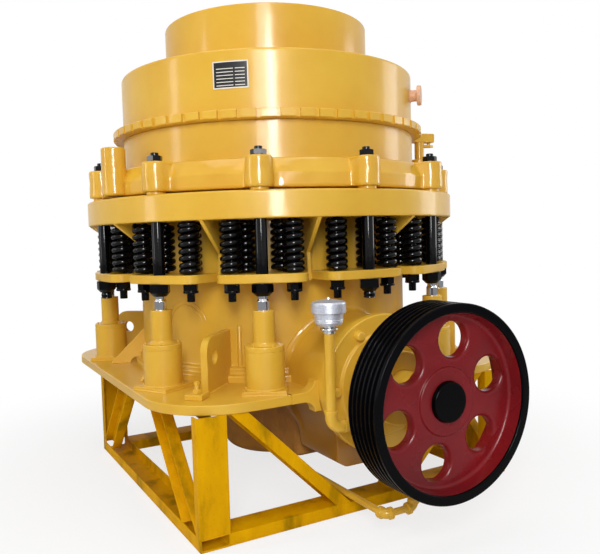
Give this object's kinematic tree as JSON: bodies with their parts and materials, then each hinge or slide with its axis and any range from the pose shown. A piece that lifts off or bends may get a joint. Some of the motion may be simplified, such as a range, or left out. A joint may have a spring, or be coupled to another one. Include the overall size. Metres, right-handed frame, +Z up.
{
  "type": "spring cone crusher",
  "caption": "Yellow spring-release cone crusher with a grooved drive sheave, standing on a weathered welded channel-steel stand.",
  "frame": {"origin": "on the crusher's vertical axis at floor level, under the stand", "axes": "+Z up along the crusher's axis; +X along the countershaft, out through the drive sheave; +Y to the sheave's left seen from outside it"},
  "size_m": [2.376, 1.9119, 2.246],
  "materials": {
    "yellow_enamel": "gloss",
    "stand_paint": "worn satin",
    "black_enamel": "gloss",
    "bright_rod": "polished",
    "red_enamel": "gloss",
    "shaft_steel": "satin",
    "grey_aluminium": "satin",
    "black_plate": "satin",
    "cast_steel": "rough"
  },
  "bodies": {
    "frame": {"base_plate": "yellow_enamel", "web_brackets": "yellow_enamel", "frame_shell": "yellow_enamel", "lower_hub": "yellow_enamel", "spring_flange": "yellow_enamel", "frame_ribs": "yellow_enamel", "lifting_lugs": "yellow_enamel", "frame_gussets": "yellow_enamel", "corner_clamps": "yellow_enamel", "release_cylinders": "yellow_enamel", "drive_housing": "yellow_enamel", "housing_cover": "yellow_enamel", "breather_pipe": "yellow_enamel", "drain_pipe": "yellow_enamel", "stand_side_rails": "stand_paint", "stand_end_rails": "stand_paint", "stand_legs": "stand_paint", "stand_end_braces": "stand_paint", "stand_side_braces": "stand_paint", "springs_front": "black_enamel", "springs_right": "black_enamel", "springs_back": "black_enamel", "springs_left": "black_enamel", "breather": "grey_aluminium", "mantle": "cast_steel"},
    "release": {"adjustment_ring": "yellow_enamel", "clamping_neck": "yellow_enamel", "tall_bosses": "yellow_enamel", "locking_pawl": "yellow_enamel", "seat_collars": "yellow_enamel", "guide_bolts": "black_enamel", "top_nuts": "black_enamel", "spring_plates": "yellow_enamel", "plate_nuts": "black_enamel", "release_rods": "bright_rod", "spring_studs": "black_enamel"},
    "bowl": {"toothed_ring": "yellow_enamel", "bowl_cap": "yellow_enamel", "feed_hopper": "yellow_enamel", "trunnions": "yellow_enamel", "nameplate": "black_plate"},
    "drive": {"countershaft": "shaft_steel", "sheave": "red_enamel"}
  },
  "joints": [
    {"name": "sheave_spin", "type": "hinge", "parent": "frame", "child": "drive", "pos_m": [1.34, 0, 0.565], "axis": [1, 0, 0], "continuous": true},
    {"name": "release_lift", "type": "slide", "parent": "frame", "child": "release", "axis": [0, 0, 1], "range_m": [0, 0.05], "deforming": ["springs_front", "springs_right", "springs_back", "springs_left"]},
    {"name": "bowl_turn", "type": "hinge", "parent": "release", "child": "bowl", "pos_m": [0, 0, 1.684], "axis": [0, 0, 1], "range_deg": [-180, 180]}
  ]
}
